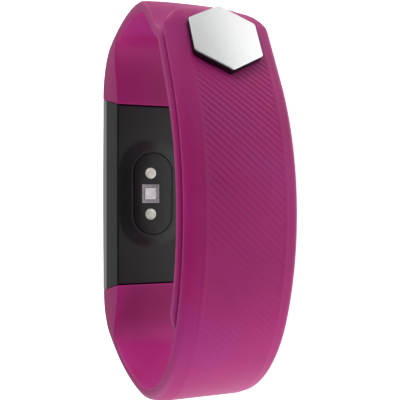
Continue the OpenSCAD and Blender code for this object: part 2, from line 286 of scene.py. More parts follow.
# the colour drifts over about 14 mm, far coarser than the mould's texture
drift = add_node(tree, "ShaderNodeTexNoise", {"Vector": (where, "Object"), "Scale": 1 / (14.0 * MM)})
colours = ((0.32, paint("#831858")), (0.5, paint("#8a1b5c")), (0.68, paint("#892064")))
tint = add_node(tree, "ShaderNodeValToRGB", {"Fac": (drift, "Fac")}, colours)
# the mould's grain is about 0.08 mm, drawn at 0.22 mm so that it shows
grain = add_node(tree, "ShaderNodeTexNoise", {"Vector": (where, "Object"), "Scale": 1 / (0.22 * MM)})
raised = {"Height": (grain, "Fac"), "Distance": 0.012 * MM, "Strength": 0.5}
bump = add_node(tree, "ShaderNodeBump", raised)
gloss = add_node(tree, "ShaderNodeMapRange", {"Value": (drift, "Fac"), "To Min": 0.42, "To Max": 0.52})
surface(
    tree,
    {
        "Base Color": (tint, "Color"),
        "Roughness": (gloss, "Result"),
        "Normal": (bump, "Normal"),
        "IOR": 1.5,
        "Specular IOR Level": 0.22,
        "Subsurface Weight": 0.22,
        "Subsurface Radius": (0.0016, 0.0003, 0.0006),
        "Subsurface Scale": 1.0,
    },
)
print("made", strap_rubber.name)

# %% [markdown]
# ## Pod, lens and sensor finishes
#
# The pod's shell is black polycarbonate with a fine eroded texture. The lens over the display is
# polished and hard coated, so it is almost a mirror at a low angle. The sides of the lens, and a
# narrow band of the shell beside it, are polished too, and their pale grey is a painted highlight,
# the fine light line they show along the pod from the clasp's side. The sensor window is a smoother
# dark plastic, and what looks out through it is cast in milky epoxy.

# %% Pod finishes
pod_plastic = moulded(
    "moulded_pc_black", "#0f0f11", "#141416", 0.2, 0.006, {"Roughness": 0.46, "Specular IOR Level": 0.35}
)
window_plastic = moulded(
    "tinted_pc_window", "#0a0a0b", "#0e0d0f", 1.5, 0.002, {"Roughness": 0.38, "Specular IOR Level": 0.3}
)
# the pale grey of this polished edge is a painted highlight, the light line the edge catches
polished_edge_painted_highlight = moulded(
    "polished_edge_band_painted_highlight",
    "#46484a",
    "#505254",
    0.3,
    0.001,
    {"Roughness": 0.12, "IOR": 1.6, "Coat Weight": 1.0},
)
lens_glass = moulded(
    "hard_coated_lens_black",
    "#070708",
    "#0a0a0c",
    6.0,
    0.001,
    {"Roughness": 0.07, "IOR": 1.5, "Coat Weight": 0.6, "Coat Roughness": 0.03},
)
clear_epoxy = moulded(
    "cast_epoxy_milky",
    "#a6a89e",
    "#c0c1b8",
    0.8,
    0.01,
    {
        "Roughness": 0.16,
        "IOR": 1.54,
        "Subsurface Weight": 0.5,
        "Subsurface Radius": (0.0006, 0.0006, 0.0005),
        "Subsurface Scale": 1.0,
    },
)
frame_plastic = moulded("moulded_lcp_grey", "#6b6a6e", "#858388", 0.3, 0.02, {"Roughness": 0.45})
pod_finishes = (pod_plastic, window_plastic, polished_edge_painted_highlight, lens_glass, clear_epoxy, frame_plastic)
print("made", ", ".join(m.name for m in pod_finishes))

# %% [markdown]
# ## Photodiode
#
# A silicon photodiode is a pale square crossed by a fine grid of metal. The lines are really a few
# hundredths of a millimetre wide, and are drawn 0.07 mm wide so that they show.

# %% Photodiode
diode_glass, tree, where = new_material("diced_silicon_photodiode")
upright = {"Vector": (where, "Object"), "Rotation": (math.pi / 2, 0, 0)}
turned_up = add_node(tree, "ShaderNodeMapping", upright)
cells = add_node(
    tree,
    "ShaderNodeTexBrick",
    {
        "Vector": (turned_up, "Vector"),
        "Color1": paint("#dcdadd"),
        "Color2": paint("#c2c0c5"),
        "Mortar": paint("#6f6d73"),
        "Scale": 1 / MM,
        "Mortar Size": 0.035,
        "Brick Width": 0.42,
        "Row Height": 0.3,
    },
    offset=0.5,
)
surface(tree, {"Base Color": (cells, "Color"), "Roughness": 0.3, "IOR": 1.5})
print("made", diode_glass.name)

# %% [markdown]
# ## Clasp steel
#
# The cap is stamped from stainless steel and blasted to an even satin, with only a trace of the
# grain left from rolling. A blasted face scatters light widely, so it looks pale grey and not like
# a mirror. The trace is drawn 0.12 mm wide. The punched edge round it stays smooth, and its steel
# is painted dark as a painted reflection of the dark rubber beside it.

# %% Clasp steel
clasp_steel, tree, where = new_material("satin_stainless_steel")
rolled = add_node(tree, "ShaderNodeMapping", {"Vector": (where, "Object"), "Scale": (0.15, 0.15, 1.0)})
trace = {"Vector": (rolled, "Vector"), "Scale": 1 / (0.12 * MM), "Detail": 3.0}
brush = add_node(tree, "ShaderNodeTexNoise", trace)
colours = ((0.3, paint("#dbdddc")), (0.7, paint("#e2e4e3")))
tint = add_node(tree, "ShaderNodeValToRGB", {"Fac": (brush, "Fac")}, colours)
gloss = add_node(tree, "ShaderNodeMapRange", {"Value": (brush, "Fac"), "To Min": 0.38, "To Max": 0.48})
raised = {"Height": (brush, "Fac"), "Distance": 0.002 * MM, "Strength": 0.4}
bump = add_node(tree, "ShaderNodeBump", raised)
surface(
    tree,
    {
        "Base Color": (tint, "Color"),
        "Roughness": (gloss, "Result"),
        "Normal": (bump, "Normal"),
        "Metallic": 1.0,
    },
)
# the punched edge's dark steel is a painted reflection of the dark rubber beside it
cut_edge_painted_reflection = moulded(
    "punched_steel_edge_painted_reflection", "#3e3f41", "#4c4d4f", 0.3, 0.001, {"Roughness": 0.3, "Metallic": 1.0}
)
print("made", clasp_steel.name, "and", cut_edge_painted_reflection.name)


# %% [markdown]
# ## Finishing a piece
#
# Every new piece ends the same way: its bmesh becomes an object at the origin, smooth shaded except
# along its sharp edges, and it joins the body it moves with. A piece that spans a joint is given no
# body here. Some pieces get a second finish on faces picked by the way they look.


# %% Finish helper
def finish_piece(name, bm, material, body=None, stands_for=(), sharp=35.0):
    """Turns a bmesh into a piece of the band."""
    bmesh.ops.recalc_face_normals(bm, faces=bm.faces)
    mesh = bpy.data.meshes.new(name)
    bm.to_mesh(mesh)
    bm.free()
    for face in mesh.polygons:
        face.use_smooth = True
    mesh.set_sharp_from_angle(angle=math.radians(sharp))
    made = bpy.data.objects.new(name, mesh)
    bpy.context.scene.collection.objects.link(made)
    mesh.materials.append(material)
    if body:
        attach(made, body)
    if stands_for:
        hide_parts(*stands_for)
    print(f"{name}: {len(mesh.polygons)} faces")
    return made


def cut_out(piece, cutter, sharp=35.0):
    """Cuts the solids in a bmesh out of a piece, as a punch or an end mill would."""
    bmesh.ops.recalc_face_normals(cutter, faces=cutter.faces)
    mesh = bpy.data.meshes.new("cutter")
    cutter.to_mesh(mesh)
    cutter.free()
    tool = bpy.data.objects.new("cutter", mesh)
    bpy.context.scene.collection.objects.link(tool)
    cut = piece.modifiers.new("cut", "BOOLEAN")
    cut.operation = "DIFFERENCE"
    cut.object = tool
    cut.solver = "EXACT"
    bpy.context.view_layer.update()
    evaluated = piece.evaluated_get(bpy.context.evaluated_depsgraph_get())
    result = bpy.data.meshes.new_from_object(evaluated)
    piece.modifiers.clear()
    piece.data = result
    result.set_sharp_from_angle(angle=math.radians(sharp))
    bpy.data.objects.remove(tool)
    print(f"{piece.name} after cutting: {len(result.polygons)} faces")


def second_finish(piece, material, chosen):
    """Gives a second material to the faces for which chosen(face) is true."""
    piece.data.materials.append(material)
    for face in piece.data.polygons:
        face.material_index = int(chosen(face))


# %% [markdown]
# ## Shapes that come up again
#
# A pill is a circle whose two halves are pulled apart, filled and raised: the holes, the sensor
# window and its seat are pills. A grid that is given its own places along both directions makes any
# curved face, with its points close together where the edge is rounded.


# %% Shape helpers
def verts_in(geom):
    """The vertices in an operator's result."""
    return [g for g in geom if isinstance(g, bmesh.types.BMVert)]


def all_of(bm):
    """Everything in a bmesh, as some operators want it."""
    return bm.verts[:] + bm.edges[:] + bm.faces[:]


def open_edges(bm):
    """The edges with a face on one side only."""
    return [e for e in bm.edges if e.is_boundary]


def add_pill(bm, length, width, low, high):
    """A pill along x, from height low to height high. Returns its vertices and its top edges."""
    ring = bmesh.ops.create_circle(bm, radius=width / 2, segments=64)["verts"]
    for vertex in ring:
        vertex.co.x += math.copysign((length - width) / 2, vertex.co.x)
        vertex.co.z = low
    rim = list({e for v in ring for e in v.link_edges})
    base = bmesh.ops.contextual_create(bm, geom=rim)["faces"]
    raised = bmesh.ops.extrude_face_region(bm, geom=base)["geom"]
    top = verts_in(raised)
    bmesh.ops.translate(bm, verts=top, vec=(0, 0, high - low))
    top_edges = [g for g in raised if isinstance(g, bmesh.types.BMEdge)]
    return ring + top, top_edges


def even(half, count):
    """Places from -half to half."""
    return [half * (2 * i / count - 1) for i in range(count + 1)]


def across_face(half, round_r, count):
    """Places across a face: even in the middle, then following a rounded edge of radius round_r."""
    turn = [math.radians(a) for a in (12, 24, 36, 48, 60, 75, 90)]
    edge = [half - round_r + round_r * math.sin(a) for a in turn]
    return [-e for e in reversed(edge)] + even(half - round_r, count) + edge


def edge_drop(distance, radius):
    """How far a face drops at a distance from its rounded edge."""
    if distance >= radius:
        return 0.0
    return radius - math.sqrt(max(0.0, radius * radius - (radius - distance) ** 2))


def grid_of(rows, columns, place):
    """A grid bmesh whose vertex in row i and column j is at place(rows[i], columns[j])."""
    bm = bmesh.new()
    bmesh.ops.create_grid(bm, x_segments=len(rows) - 1, y_segments=len(columns) - 1, size=0.5)
    for vertex in bm.verts:
        i = round((vertex.co.x + 0.5) * (len(rows) - 1))
        j = round((vertex.co.y + 0.5) * (len(columns) - 1))
        vertex.co = place(rows[i], columns[j])
    return bm


# %% [markdown]
# ## The straps
#
# A strap is moulded nearly flat and worn bent, so it is easiest to describe flat and then wrap round
# the path. The columns of a grid go once round the strap's section: outer face, side, inner face and
# side. Its rows go along the strap. Each point gets a depth, which holds the crowned face, the
# rounded edges and the grooves. Near the pod the strap swells until it is as thick as the pod, and
# its inner face there is one smooth curve from the pod's back to the thin strap.


# %% Section of a strap
def section_columns(outer, inner):
    """The columns of the grid, once round the section: (face, place across)."""
    columns = [("outer", u) for u in outer] + [("side", 1.0)]
    columns += [("inner", u) for u in reversed(inner)] + [("side", -1.0)]
    return columns + columns[:1]


def bezier(points, t):
    """A point on a cubic curve."""
    a, b, c, d = points
    return (1 - t) ** 3 * a + 3 * (1 - t) ** 2 * t * b + 3 * (1 - t) * t * t * c + t**3 * d


def root_curve(end_s, join_s, thick):
    """The inner face of a root, from the thin strap at join_s to the pod."""
    way = 1 if end_s > 0 else -1
    join = flat_point(join_s, thick)
    ahead = flat_point(join_s + way * 3, thick) - join
    back = BACK - 0.25 + SHIFT
    corner = Vector((way * (POD_BACK + STRAP_GAP) + POD_X, back))
    return [join, join + ahead * 2, Vector((way * (POD_BACK + 5) + POD_X, back)), corner]


def strap_solid(rows, columns, half_at, depth_at, inner_at, lift_at, left_at):
    """A strap: depth_at(face, s, z, edge distance, thickness) shapes it, and the path bends it."""

    def place(s, column):
        face, u = column
        half, edge = half_at(s)
        z = u * half
        outer = flat_point(s, lift_at(s))
        through = inner_at(s) - outer
        thick = through.length
        depth = depth_at(face, s, z, edge(z), thick)
        x, y = outer + through * (depth / thick)
        # the root's sides lean in as the pod's do
        lean = SIDE_LEAN / HALF * depth / POD_THICK * (1 - ease(left_at(s) / 24))
        return Vector((x, y, HALF + z * (1 - lean))) * MM

    bm = grid_of(rows, columns, place)
    bmesh.ops.remove_doubles(bm, verts=bm.verts, dist=1e-6)
    bmesh.ops.holes_fill(bm, edges=open_edges(bm), sides=0)
    return bm


# distances from the pod at which a strap's end is rounded over
SEAM_STEPS = (0.6, 0.4, 0.25, 0.12, 0.04, 0.0)
SEAM_R = 0.3
# turns that spread the rows evenly round a rounded end
END_TURNS = (90, 87, 84, 80, 76, 71, 66, 60, 54, 47, 40, 33, 26)

# %% [markdown]
# ### Clasp strap
#
# The outer strap has a flat panel down its middle with slanting moulded grooves. The margins beside
# it curve down to broad rounded edges, which catch the light. The grooves run out towards the pod.
# They are 1.08 mm apart along the strap, so the rows there are an eighth of that apart.


# %% Clasp strap's face
PANEL_HALF = 5.7
PANEL_OFF = -0.3
GROOVE_STEP = 1.08
GROOVE_DEPTH = 0.11
EDGE_R = 0.85
INNER_R = 0.5
CLASP_JOIN = -60.0


def clasp_half(s):
    """Half the strap's width at s, and how far a point there is from the strap's outline."""
    t = s - STUD_AT
    if t <= 0:
        return HALF, lambda z: HALF - abs(z)
    half = min(HALF, math.sqrt(max(0.0, TIP_R * TIP_R - t * t)))
    return half, lambda z: max(0.0, min(HALF - abs(z), TIP_R - math.hypot(t, z)))


def groove(s, z):
    """Depth of the slanting grooves in the middle panel."""
    across = 1 - ease((abs(z - PANEL_OFF) - PANEL_HALF + 0.5) / 0.5)
    along = ease((24.5 - s) / 3.0) * ease((s + 24.0) / 16.0)
    wave = 0.5 - 0.5 * math.cos(2 * math.pi * (s - 0.92 * z) / GROOVE_STEP)
    return GROOVE_DEPTH * across * along * wave


def margin_drop(z):
    """The panel's small edge and the curve of the margin beside it."""
    beside = max(0.0, abs(z - PANEL_OFF) - PANEL_HALF)
    return 0.06 * ease(beside / 0.4) + 0.42 * (beside / (HALF - PANEL_HALF)) ** 1.7


def clasp_depth(face, s, z, edge, thick):
    """Depth of a point below the path: the crown, the rounded edges and the grooves."""
    left = CLASP_LEN + s
    crown = margin_drop(z) * ease((left - 1) / 12)
    if face == "outer":
        return crown + edge_drop(edge, EDGE_R) + groove(s, z) + edge_drop(left, SEAM_R)
    if face == "inner":
        return thick - edge_drop(edge, INNER_R) - edge_drop(left, SEAM_R)
    return (crown + EDGE_R + thick - INNER_R) / 2


# %% [markdown]
# The rows start at the rounded tip, where they are spread evenly round the curve, then run finely
# through the grooves and coarsely up the plain root to the pod.

# %% Clasp strap
clasp_root = root_curve(-CLASP_LEN, CLASP_JOIN, CLASP_THICK)


def clasp_inner(s):
    """The inner face: level with the path on the thin strap, and the root's curve beyond it."""
    if s > CLASP_JOIN:
        return flat_point(s, CLASP_THICK)
    return bezier(clasp_root, (CLASP_JOIN - s) / (CLASP_LEN + CLASP_JOIN))


fine = GROOVE_STEP / 8
rows = [STUD_AT + TIP_R * math.sin(math.radians(a)) for a in END_TURNS]
rows += [rows[-1] - 0.4 * i for i in range(1, 12)]
rows += [rows[-1] - fine * i for i in range(1, 360)]
coarse_from = rows[-1]
steps = int((CLASP_LEN + coarse_from - 0.8) / 0.6)
rows += [coarse_from - 0.6 * i for i in range(1, steps + 1)]
rows += [-CLASP_LEN + d for d in SEAM_STEPS]
outer = [z / HALF for z in across_face(HALF, EDGE_R, 104)]
inner = [z / HALF for z in across_face(HALF, INNER_R, 16)]
bm = strap_solid(
    rows,
    section_columns(outer, inner),
    clasp_half,
    clasp_depth,
    clasp_inner,
    lift_at=lambda s: 0.0,
    left_at=lambda s: CLASP_LEN + s,
)
clasp_strap = finish_piece(
    "clasp_strap", bm, strap_rubber, stands_for=("clasp_strap_root", "clasp_strap_tip")
)

# %% [markdown]
# ### Tail strap
#
# The inner strap is plainer. It starts thick at the pod, steps inwards to pass under the end of the
# clasp strap, and ends round. Its holes are cut with a boolean, as a punch would, from a row of
# rounded slugs.

# %% Tail strap's face
TAIL_TIP = -23
TAIL_END_R = 8.0
TAIL_JOIN = 62.0
TAIL_EDGE_R = 0.45
STEP_FROM = 34
STEP_OVER = 12


def tail_step(s):
    """How far the tail strap lies inside the path."""
    return LAYER_STEP * (1 - ease((s - STEP_FROM) / STEP_OVER))


def tail_half(s):
    """Half the tail strap's width at s, and the distance from its outline."""
    t = TAIL_TIP + TAIL_END_R - s
    if t <= 0:
        return HALF, lambda z: HALF - abs(z)
    half = math.sqrt(max(0.0, TAIL_END_R**2 - t * t))
    return half, lambda z: max(0.0, TAIL_END_R - math.hypot(t, z))


def tail_depth(face, s, z, edge, thick):
    """Depth of a point below the strap's outer face: a low crown and rounded edges."""
    left = TAIL_LEN - s
    crown = 0.3 * (abs(z) / HALF) ** 2.5 * ease((left - 1) / 12)
    if face == "outer":
        return crown + edge_drop(edge, TAIL_EDGE_R) + edge_drop(left, SEAM_R)
    if face == "inner":
        return thick - edge_drop(edge, INNER_R) - edge_drop(left, SEAM_R)
    return (crown + thick) / 2


# %% [markdown]
# The rows start at the tail's rounded tip and run evenly to the pod. The inner face keeps the columns
# of the clasp strap's.

# %% Tail strap
tail_root = root_curve(TAIL_LEN, TAIL_JOIN, TAIL_THICK)


def tail_inner(s):
    """The inner face, found as the clasp strap's is."""
    if s < TAIL_JOIN:
        return flat_point(s, tail_step(s) + TAIL_THICK)
    return bezier(tail_root, (s - TAIL_JOIN) / (TAIL_LEN - TAIL_JOIN))


rows = [TAIL_TIP + TAIL_END_R * (1 - math.sin(math.radians(a))) for a in END_TURNS]
steps = int((TAIL_LEN - rows[-1] - 0.8) / 0.5)
rows += [rows[-1] + 0.5 * i for i in range(1, steps + 1)]
rows += [TAIL_LEN - d for d in SEAM_STEPS]
outer = [z / HALF for z in across_face(HALF, TAIL_EDGE_R, 20)]
bm = strap_solid(
    rows,
    section_columns(outer, inner),
    tail_half,
    tail_depth,
    tail_inner,
    lift_at=tail_step,
    left_at=lambda s: TAIL_LEN - s,
)
tail_strap = finish_piece(
    "tail_strap", bm, strap_rubber, stands_for=("tail_strap_root", "tail_strap_end")
)


# %% [markdown]
# The holes stand square to the strap. The path's heading at each hole gives the three directions
# that turn a point along, across and out of the strap into a place. The same helper puts the
# clasp's metal parts on the stud's axis.


# %% Holes
def stand_on(bm, s, verts=None):
    """Moves vertices given in mm along, across and out of the strap to their place at s."""
    across, into, heading = heading_at(s)
    a = math.radians(heading if s >= 0 else -heading)
    base = Vector((across if s >= 0 else -across, into + SHIFT, HALF))
    along = Vector((math.cos(a), math.sin(a), 0))
    out = Vector((math.sin(a), -math.cos(a), 0))
    for vertex in verts or bm.verts:
        x, y, z = vertex.co
        vertex.co = (base + along * x + Vector((0, 0, y)) + out * z) * MM


HOLE_PITCH = 8.5
HOLE_LEN = 6.9
HOLE_WID = 4.4
bm = bmesh.new()
for k in range(5):
    verts, _ = add_pill(bm, HOLE_LEN, HOLE_WID, -LAYER_STEP - 4, -LAYER_STEP + 2)
    stand_on(bm, STUD_AT - HOLE_PITCH * k, verts)
cut_out(tail_strap, bm)

# %% [markdown]
# ### Hinges
#
# Both straps are rigid bodies with one hinge each in the engineering model. The place and direction
# of each hinge are found on the path, and each strap's placement is baked into its mesh.

# %% Hinges
LIFT_AT = 4
FLEX_AT = 42
lift = on_path(LIFT_AT, CLASP_THICK / 2, 0)
along = (on_path(LIFT_AT + 4, CLASP_THICK / 2, 0) - on_path(LIFT_AT - 4, CLASP_THICK / 2, 0)).normalized()
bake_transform(clasp_strap)
flex = on_path(FLEX_AT, tail_step(FLEX_AT) + TAIL_THICK / 2, 0)
along = (on_path(FLEX_AT - 4, 1, 0) - on_path(FLEX_AT + 4, 1, 0)).normalized()
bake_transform(tail_strap)

# %% [markdown]
# ## The clasp
#
# The cap is a stamped steel plate with a satin top. Two of its corners point along the strap. Its
# rim is bevelled all round and its corners are eased. The faces that look away from the stud's axis
# are the punched edge, painted dark steel as a painted reflection of the dark rubber beside it.

# %% Cap
FLATS = 10.2
CAP_TOP = 1.0
CAP_SUNK = 0.4
point_r = FLATS / math.sqrt(3)
bm = bmesh.new()
bmesh.ops.create_cone(
    bm, cap_ends=True, segments=6, radius1=point_r, radius2=point_r, depth=CAP_TOP + CAP_SUNK
)
bmesh.ops.rotate(bm, verts=bm.verts, matrix=Matrix.Rotation(math.radians(30), 3, "Z"))
bmesh.ops.translate(bm, verts=bm.verts, vec=(0, 0, (CAP_TOP - CAP_SUNK) / 2))
posts = [e for e in bm.edges if abs(e.verts[0].co.z - e.verts[1].co.z) > 1]
bmesh.ops.bevel(bm, geom=posts, offset=0.35, affect="EDGES", segments=4, profile=0.5, material=-1)
rim = [e for e in bm.edges if min(v.co.z for v in e.verts) > CAP_TOP - 0.1]
bmesh.ops.bevel(bm, geom=rim, offset=0.2, affect="EDGES", segments=3, profile=0.5, material=-1)
stand_on(bm, STUD_AT)
cap = finish_piece("cap_plate", bm, clasp_steel, "clasp_flap", ("clasp_cap",), sharp=40)
slope = math.radians(heading_at(STUD_AT)[2])
stud_axis = Vector((math.sin(slope), -math.cos(slope), 0))
# the cap's side walls take the dark steel of the painted reflection
second_finish(cap, cut_edge_painted_reflection, lambda face: abs(face.normal.dot(stud_axis)) < 0.3)

# %% [markdown]
# Under the cap the stud is turned on a lathe, so it is half a section spun round its axis, and so is
# the washer that backs it inside the strap.


# %% Stud and washer
def turned(profile):
    """A turned part: the profile's (radius, height) points spun round the stud's axis."""
    bm = bmesh.new()
    points = [bm.verts.new((radius, 0, height)) for radius, height in profile]
    edges = [bm.edges.new(pair) for pair in zip(points, points[1:])]
    bmesh.ops.spin(
        bm,
        geom=points + edges,
        cent=(0, 0, 0),
        axis=(0, 0, 1),
        angle=math.tau,
        steps=48,
        use_merge=True,
    )
    bmesh.ops.remove_doubles(bm, verts=bm.verts, dist=1e-5)
    stand_on(bm, STUD_AT)
    return bm


NECK_R = 1.6
HEAD_R = 1.8
grip = LAYER_STEP + TAIL_THICK
stud = [(0, -grip - 0.4), (HEAD_R - 0.35, -grip - 0.4), (HEAD_R - 0.1, -grip - 0.3)]
stud += [(HEAD_R, -grip - 0.1), (HEAD_R, -grip + 0.2), (HEAD_R - 0.1, -grip + 0.4)]
stud += [(NECK_R, -grip + 0.5), (NECK_R, 0.45), (0, 0.45)]
finish_piece("stud", turned(stud), clasp_steel, "clasp_flap", ("clasp_stud",))
washer_low = -CLASP_THICK - 0.4
washer = [(NECK_R + 0.02, washer_low + 0.05), (NECK_R + 0.1, washer_low), (2.9, washer_low)]
washer += [(3.0, washer_low + 0.1), (3.0, washer_low + 0.4), (NECK_R + 0.02, washer_low + 0.4)]
washer += washer[:1]
finish_piece("washer", turned(washer), clasp_steel, "clasp_flap", ("clasp_backplate",))

# %% [markdown]
# ## The pod
#
# Pieces of the pod are shaped lying down, with x along it, y across it and z as height above its
# back, and then stood up. The shell's back is a grid that rises in a smooth mound round the sensor
# window. Its border is extruded to the seam, where the pod is wider, so that ends and sides lean.
# The walls are cut level near the seam, which gives the polished band with its painted highlight its
# edge.


# %% Pod shell
WINDOW_LEN = 16.0
WINDOW_WID = 7.7
SEAT_GAP = 0.14


def stand_in_pod(bm, from_back=True):
    """Moves vertices given in mm along, across and above the pod's back (or lens edge) to place."""
    for vertex in bm.verts:
        x, y, z = vertex.co
        into = BACK - z if from_back else LOOP_DEPTH + z
        vertex.co = Vector((x + POD_X, into + SHIFT, HALF + y)) * MM


def mound(x, y):
    """Height of the raised area round the window."""
    beside = max(0.0, abs(x - SENSOR_X) - (WINDOW_LEN - WINDOW_WID) / 2)
    outside = math.hypot(beside, y) - WINDOW_WID / 2
    return HUMP * (1 - ease((outside - 0.25) / 2.7))


def drop_walls(bm, scale_x, scale_y, floor_z):
    """Extrudes a grid's border down to floor_z, spreads it, and closes the bottom."""
    walls = bmesh.ops.extrude_edge_only(bm, edges=open_edges(bm))["geom"]
    for vertex in verts_in(walls):
        vertex.co = Vector((vertex.co.x * scale_x, vertex.co.y * scale_y, floor_z))
    bmesh.ops.holes_fill(bm, edges=open_edges(bm), sides=0)


BACK_HALF = HALF - SIDE_LEAN
SHELL_R = 0.35
EDGE_BAND = 1.4
shell_tall = SEAM - BACK


def shell_face(x, y):
    """The back of the shell: the mound, and a small rounded edge all round."""
    edge = min(POD_BACK - abs(x), BACK_HALF - abs(y))
    return Vector((x, y, mound(x, y) - edge_drop(edge, SHELL_R)))


bm = grid_of(across_face(POD_BACK, SHELL_R, 130), across_face(BACK_HALF, SHELL_R, 64), shell_face)
seam_x = POD_FRONT - (POD_FRONT - POD_BACK) * (LOOP_DEPTH - SEAM) / POD_THICK
seam_y = HALF - SIDE_LEAN * (LOOP_DEPTH - SEAM) / POD_THICK
drop_walls(bm, seam_x / POD_BACK, seam_y / BACK_HALF, -shell_tall)
band_from = shell_tall - EDGE_BAND
bmesh.ops.bisect_plane(bm, geom=all_of(bm), plane_co=(0, 0, -band_from), plane_no=(0, 0, 1))
stand_in_pod(bm)
shell = finish_piece("pod_case", bm, pod_plastic, "pod", ("pod_shell",))
band_y = (BACK + band_from + SHIFT) * MM
# the shell's side faces near the seam take the pale grey of the painted highlight
second_finish(shell, polished_edge_painted_highlight, lambda face: abs(face.normal.z) > 0.6 and face.center.y > band_y)

# %% [markdown]
# The window sits in a seat a little larger than itself, which leaves the fine dark line round it.

# %% Window seat
bm = bmesh.new()
add_pill(bm, WINDOW_LEN + 2 * SEAT_GAP, WINDOW_WID + 2 * SEAT_GAP, 0.3, 2.0)
bmesh.ops.translate(bm, verts=bm.verts, vec=(SENSOR_X, 0, 0))
stand_in_pod(bm)
cut_out(shell, bm)

# %% [markdown]
# ## Sensor window
#
# The window is a pill with an eased rim and three openings: two round ones for the light lenses and
# a square one for the photodiode's frame.

# %% Window
WINDOW_TOP = HUMP + 0.08
LED_R = 1.08
LED_STEP = 4.03
CHIP_X = 3.64
CHIP_Y = 3.46
LED_PLACES = [(SENSOR_X + way * LED_STEP, SENSOR_Z) for way in (-1, 1)]

bm = bmesh.new()
_, top_edges = add_pill(bm, WINDOW_LEN, WINDOW_WID, 0.31, WINDOW_TOP)
bmesh.ops.bevel(bm, geom=top_edges, offset=0.14, affect="EDGES", segments=3, profile=0.5, material=-1)
bmesh.ops.translate(bm, verts=bm.verts, vec=(SENSOR_X, 0, 0))
stand_in_pod(bm)
window = finish_piece("window_pane", bm, window_plastic, "pod", ("sensor_window",))


def add_block(bm, size, centre):
    """A block of the given size about a centre."""
    verts = bmesh.ops.create_cube(bm, size=1.0)["verts"]
    bmesh.ops.scale(bm, verts=verts, vec=size)
    bmesh.ops.translate(bm, verts=verts, vec=centre)
    return verts


bm = bmesh.new()
for x, y in LED_PLACES:
    verts = bmesh.ops.create_cone(
        bm, cap_ends=True, segments=48, radius1=LED_R + 0.07, radius2=LED_R + 0.07, depth=3
    )["verts"]
    bmesh.ops.translate(bm, verts=verts, vec=(x, y, 0.6))
add_block(bm, (CHIP_X + 0.08, CHIP_Y + 0.08, 3), (SENSOR_X, SENSOR_Z, 0.6))
stand_in_pod(bm)
cut_out(window, bm)

# %% [markdown]
# The light lenses are the tops of spheres on short posts. A sphere is cut level where it is as wide
# as the post, and the cut's border is extruded down.

# %% Light lenses
DOME_R = 1.75
DOME_DEEP = 0.35
POST_TALL = 0.9
bm = bmesh.new()
bmesh.ops.create_uvsphere(bm, u_segments=40, v_segments=64, radius=DOME_R)
cut_at = math.sqrt(DOME_R**2 - LED_R**2)
bmesh.ops.bisect_plane(
    bm, geom=all_of(bm), plane_co=(0, 0, cut_at), plane_no=(0, 0, 1), clear_inner=True
)
posts = bmesh.ops.extrude_edge_only(bm, edges=open_edges(bm))["geom"]
bmesh.ops.translate(bm, verts=verts_in(posts), vec=(0, 0, -POST_TALL))
bmesh.ops.holes_fill(bm, edges=open_edges(bm), sides=0)
bmesh.ops.translate(bm, verts=bm.verts, vec=(0, 0, HUMP + DOME_DEEP - DOME_R + 0.1))
one = all_of(bm)
second = bmesh.ops.duplicate(bm, geom=one)["geom"]
for dome, (x, y) in zip((one, second), LED_PLACES):
    verts = verts_in(dome)
    bmesh.ops.translate(bm, verts=verts, vec=(x, y, 0))
stand_in_pod(bm)
finish_piece("light_lenses", bm, clear_epoxy, "pod", ("led_lenses",))

# %% [markdown]
# The photodiode sits in a grey frame with a stepped opening. The frame is a block whose top is inset
# twice, once for the outer lip and once for the opening, and the opening is pushed down.


# %% Photodiode and frame
def top_face(bm):
    """The highest face that looks up."""
    bm.faces.ensure_lookup_table()
    bm.normal_update()
    flat = [f for f in bm.faces if f.normal.z > 0.9]
    return max(flat, key=lambda f: f.calc_center_median().z)


def sink(bm, border, depth):
    """Insets the top face by border and pushes the middle down by depth."""
    face = top_face(bm)
    bmesh.ops.inset_region(bm, faces=[face], thickness=border, use_even_offset=True)
    bmesh.ops.translate(bm, verts=face.verts[:], vec=(0, 0, -depth))
    return face


bm = bmesh.new()
add_block(bm, (CHIP_X, CHIP_Y, 1.0), (SENSOR_X, SENSOR_Z, 0.5))
lip = sink(bm, 0.22, 0.06)
bmesh.ops.inset_region(bm, faces=[lip], thickness=0.36, use_even_offset=True)
bmesh.ops.translate(bm, verts=lip.verts[:], vec=(0, 0, -0.14))
stand_in_pod(bm)
finish_piece("diode_frame", bm, frame_plastic, "pod", ("photodiode_frame",))

DIE = 2.2
bm = bmesh.new()
add_block(bm, (DIE, DIE, 0.2), (SENSOR_X, SENSOR_Z, 0.86))
sink(bm, 0.12, 0.03)
stand_in_pod(bm)
finish_piece("diode_die", bm, diode_glass, "pod", ("photodiode",))

# %% [markdown]
# ## Front lens
#
# The lens bows gently along the pod, 1 mm in all, and its edge is rolled over where it meets the
# shell. It is a grid again, whose border drops to the glue line. Its long sides are polished, and
# their pale grey is a painted highlight.

# %% Front lens
LENS_X = POD_FRONT - 0.05
LENS_Y = HALF - 0.1
LENS_R = 0.5


def lens_face(x, y):
    """The bowed face. Its rounded edge is shallower near the ends, where the lens is thinnest."""
    edge = min(LENS_X - abs(x), LENS_Y - abs(y))
    bow = LENS_RISE * (1 - (x / LENS_X) ** 2)
    rolled = 0.25 + 0.75 * ease((LENS_X - abs(x)) / 6)
    return Vector((x, y, bow - edge_drop(edge, LENS_R) * rolled))


bm = grid_of(across_face(LENS_X, LENS_R, 60), across_face(LENS_Y, LENS_R, 28), lens_face)
lens_foot = -(LOOP_DEPTH - SEAM - 0.2)
foot_x = LENS_X + lens_foot * (POD_FRONT - POD_BACK) / POD_THICK
drop_walls(bm, foot_x / LENS_X, 1.0, lens_foot)
stand_in_pod(bm, from_back=False)
lens = finish_piece("lens_cover", bm, lens_glass, "pod", ("front_lens",))
# the lens's long sides take the pale grey of the painted highlight
second_finish(lens, polished_edge_painted_highlight, lambda face: abs(face.normal.z) > 0.6)

